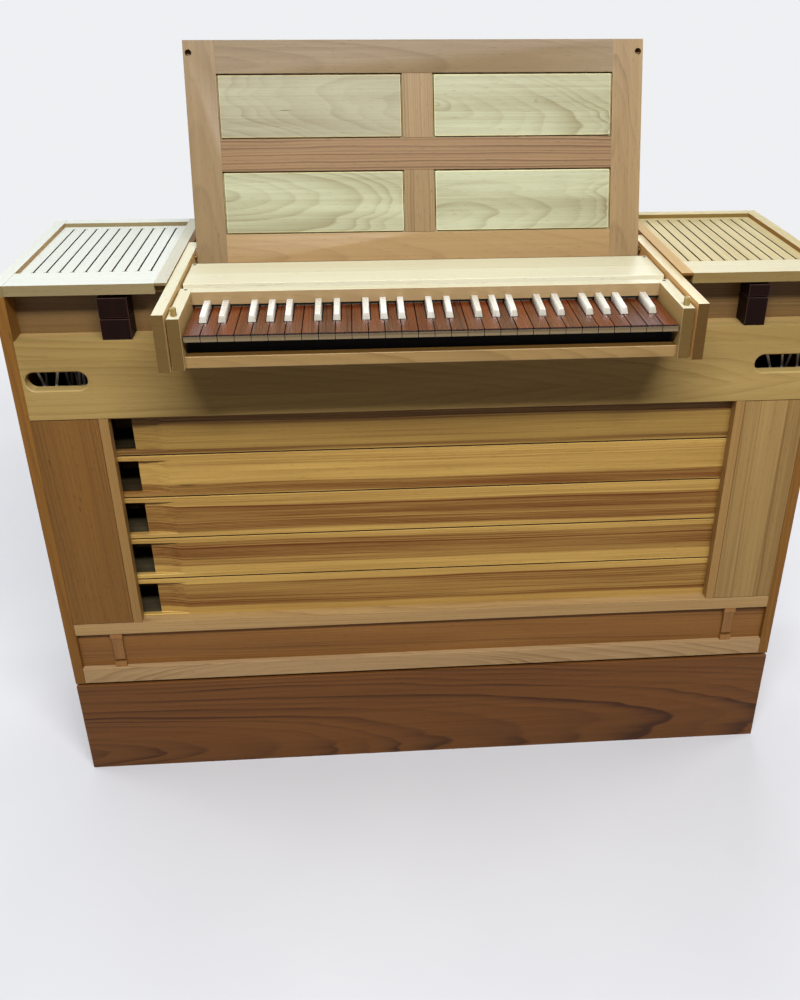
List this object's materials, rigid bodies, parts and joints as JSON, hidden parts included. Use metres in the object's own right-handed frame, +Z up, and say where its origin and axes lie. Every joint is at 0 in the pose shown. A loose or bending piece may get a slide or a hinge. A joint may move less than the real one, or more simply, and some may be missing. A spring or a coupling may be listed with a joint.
{
  "type": "chest organ",
  "caption": "Wooden chest organ on a plinth, with lying wooden pipes in its open front, slatted lids, stop blocks and a keyboard whose open lid is the music desk.",
  "frame": {"origin": "centre of the plinth's underside, halfway through the depth of the case", "axes": "+X to the player's right along the case, +Y from the player to the back, +Z up"},
  "size_m": [1.298, 0.5475, 1.2511],
  "materials": {
    "plinth_brown": "satin, brown, horizontal grain",
    "case_brown": "satin, warm brown",
    "inner_wood": "plain planed wood",
    "front_tan": "satin, tan with fine straight grain",
    "recess_brown": "satin, brown",
    "strip_pale": "satin, pale strip",
    "pipe_pine": "planed pine with brown streaks",
    "tube_metal": "dull grey metal",
    "lid_pale": "satin, very pale wood",
    "bracket_beech": "satin, pale brown",
    "peg_wood": "dull wood",
    "key_frame_dark": "dark stained wood",
    "natural_rosewood": "polished reddish brown wood",
    "key_front_pale": "pale strip with a polished edge",
    "sharp_bone": "polished bone white",
    "desk_tan": "satin, pinkish tan",
    "desk_panel": "satin, pale greenish cream",
    "pivot_brass": "brushed",
    "stop_ebony": "satin, nearly black brown"
  },
  "bodies": {
    "case": {"plinth_front": "plinth_brown", "plinth_back": "plinth_brown", "plinth_left": "plinth_brown", "plinth_right": "plinth_brown", "plinth_floor": "inner_wood", "plinth_top": "plinth_brown", "case_floor": "inner_wood", "side_left": "case_brown", "side_right": "case_brown", "back_frame": "case_brown", "back_panels": "front_tan", "bottom_rail": "front_tan", "recess_panel": "recess_brown", "recess_catches": "recess_brown", "recess_rail": "front_tan", "pipe_shelf": "inner_wood", "stile_left": "case_brown", "stile_right": "case_brown", "stile_strips": "strip_pale", "fascia": "front_tan", "chest_board": "front_tan", "pipe_1": "pipe_pine", "pipe_2": "pipe_pine", "pipe_3": "pipe_pine", "pipe_4": "pipe_pine", "pipe_5": "pipe_pine", "pipe_rack": "inner_wood", "tubes_left": "tube_metal", "tubes_right": "tube_metal", "niche_back_left": "inner_wood", "niche_back_right": "inner_wood", "partition_left": "inner_wood", "partition_right": "inner_wood", "centre_cover": "front_tan", "grille_frame_left": "lid_pale", "grille_frame_right": "lid_pale", "grille_left": "lid_pale", "grille_right": "lid_pale", "bracket_left": "bracket_beech", "bracket_right": "bracket_beech", "cheek_left": "bracket_beech", "cheek_right": "bracket_beech", "pegs": "peg_wood", "key_frame": "key_frame_dark", "key_slip": "bracket_beech", "naturals": "natural_rosewood", "natural_fronts": "key_front_pale", "sharp_levers": "natural_rosewood", "sharps": "sharp_bone", "name_board": "desk_tan", "cover_board": "lid_pale", "lid_rest": "inner_wood"},
    "lid": {"lid_frame": "desk_tan", "lid_panels": "desk_panel", "lid_pivots": "pivot_brass"},
    "stop_left_lower_block": {"stop_left_lower": "stop_ebony"},
    "stop_left_upper_block": {"stop_left_upper": "stop_ebony"},
    "stop_right_lower_block": {"stop_right_lower": "stop_ebony"},
    "stop_right_upper_block": {"stop_right_upper": "stop_ebony"}
  },
  "joints": [
    {"name": "lid_hinge", "type": "hinge", "parent": "case", "child": "lid", "pos_m": [0, -0.01048, 0.9313], "axis": [1, 0, 0], "range_deg": [0, 106.2]},
    {"name": "stop_left_lower_slide", "type": "slide", "parent": "case", "child": "stop_left_lower_block", "axis": [-1, 0, 0], "range_m": [0, 0.02]},
    {"name": "stop_left_upper_slide", "type": "slide", "parent": "case", "child": "stop_left_upper_block", "axis": [-1, 0, 0], "range_m": [0, 0.02]},
    {"name": "stop_right_lower_slide", "type": "slide", "parent": "case", "child": "stop_right_lower_block", "axis": [1, 0, 0], "range_m": [0, 0.02]},
    {"name": "stop_right_upper_slide", "type": "slide", "parent": "case", "child": "stop_right_upper_block", "axis": [1, 0, 0], "range_m": [0, 0.02]}
  ]
}
